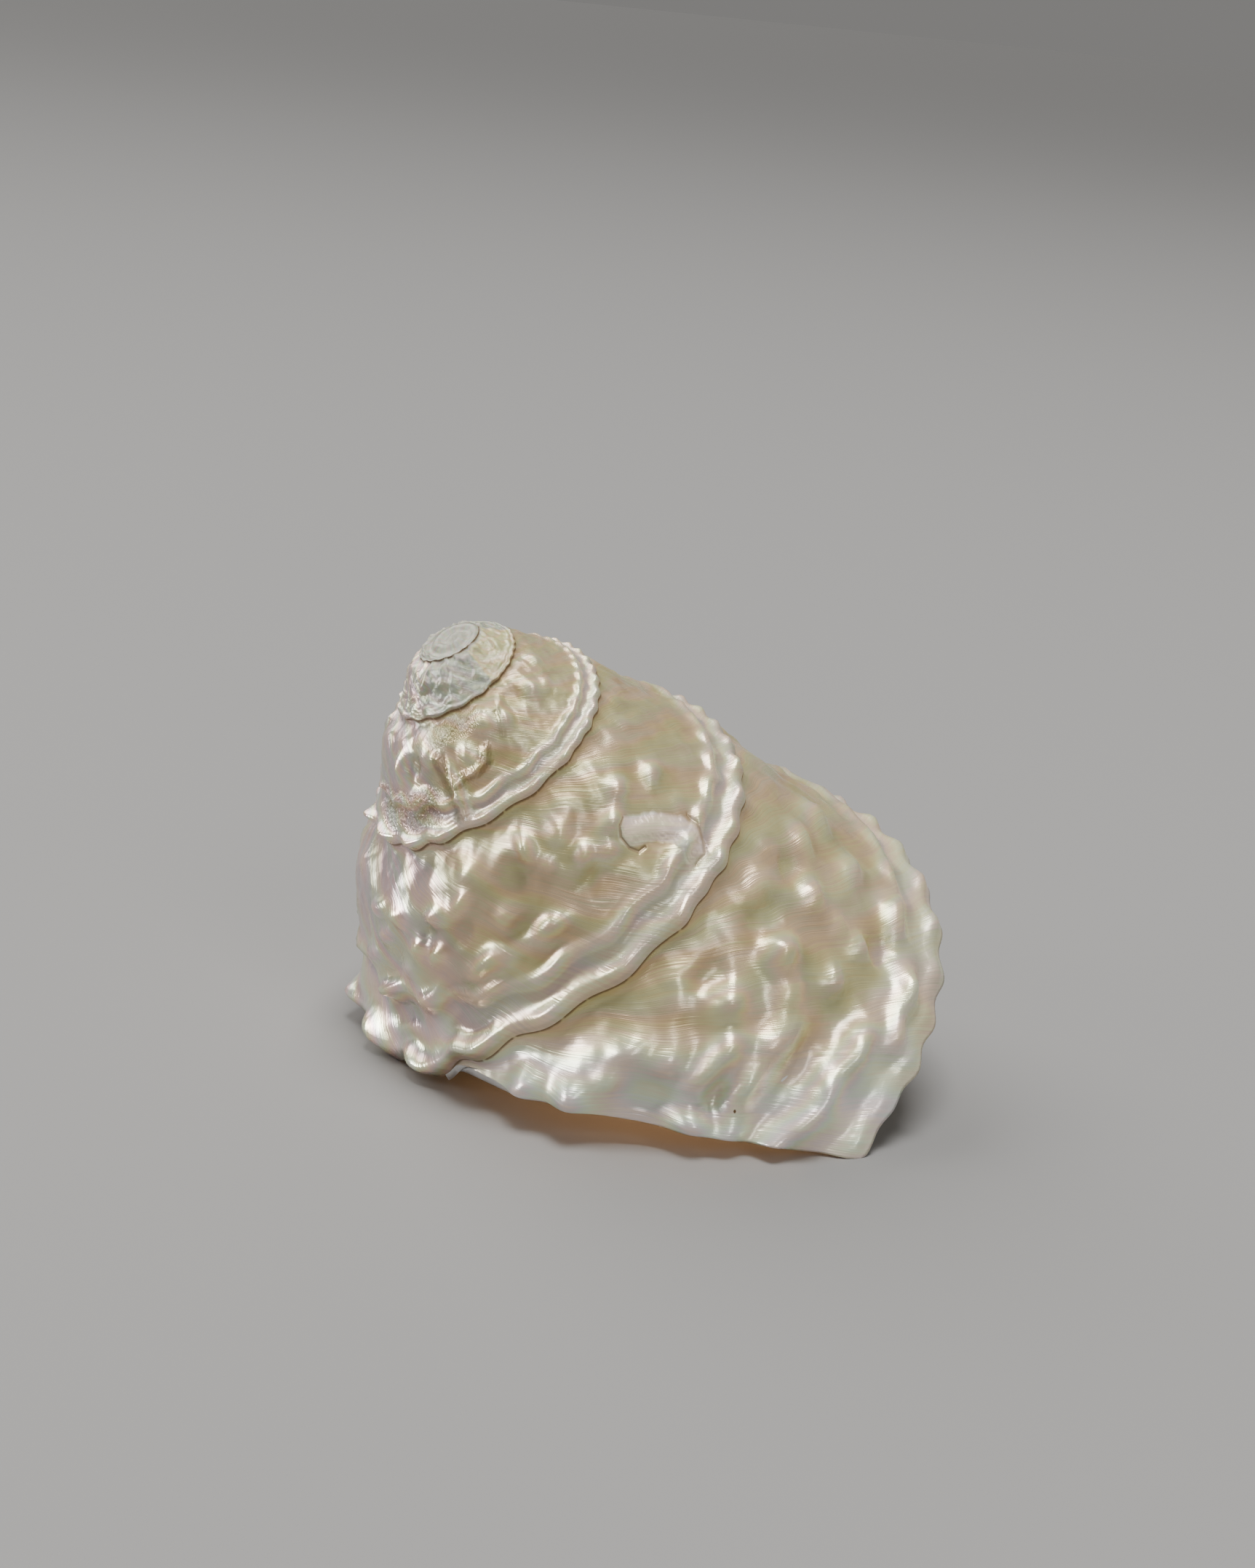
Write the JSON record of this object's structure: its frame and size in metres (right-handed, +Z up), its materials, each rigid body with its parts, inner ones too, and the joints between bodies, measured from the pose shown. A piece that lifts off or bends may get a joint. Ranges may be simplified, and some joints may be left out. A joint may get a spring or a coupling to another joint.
{
  "type": "wavy turban shell",
  "caption": "Empty wavy turban shell polished to its mother of pearl, a domed cone of coiled whorls with a knobbed wavy edge, lying on its open mouth.",
  "frame": {"origin": "middle of the shell's footprint, on the surface that it lies on", "axes": "+Z up as the shell lies on its mouth; +X towards the corner of the outer lip; -Y towards the mouth's outer lip"},
  "size_m": [0.0878, 0.0822, 0.0653],
  "materials": {
    "pearl": "polished mother of pearl with a soft pearly sheen"
  },
  "bodies": {
    "root": {"turban_shell": "pearl"}
  },
  "joints": []
}
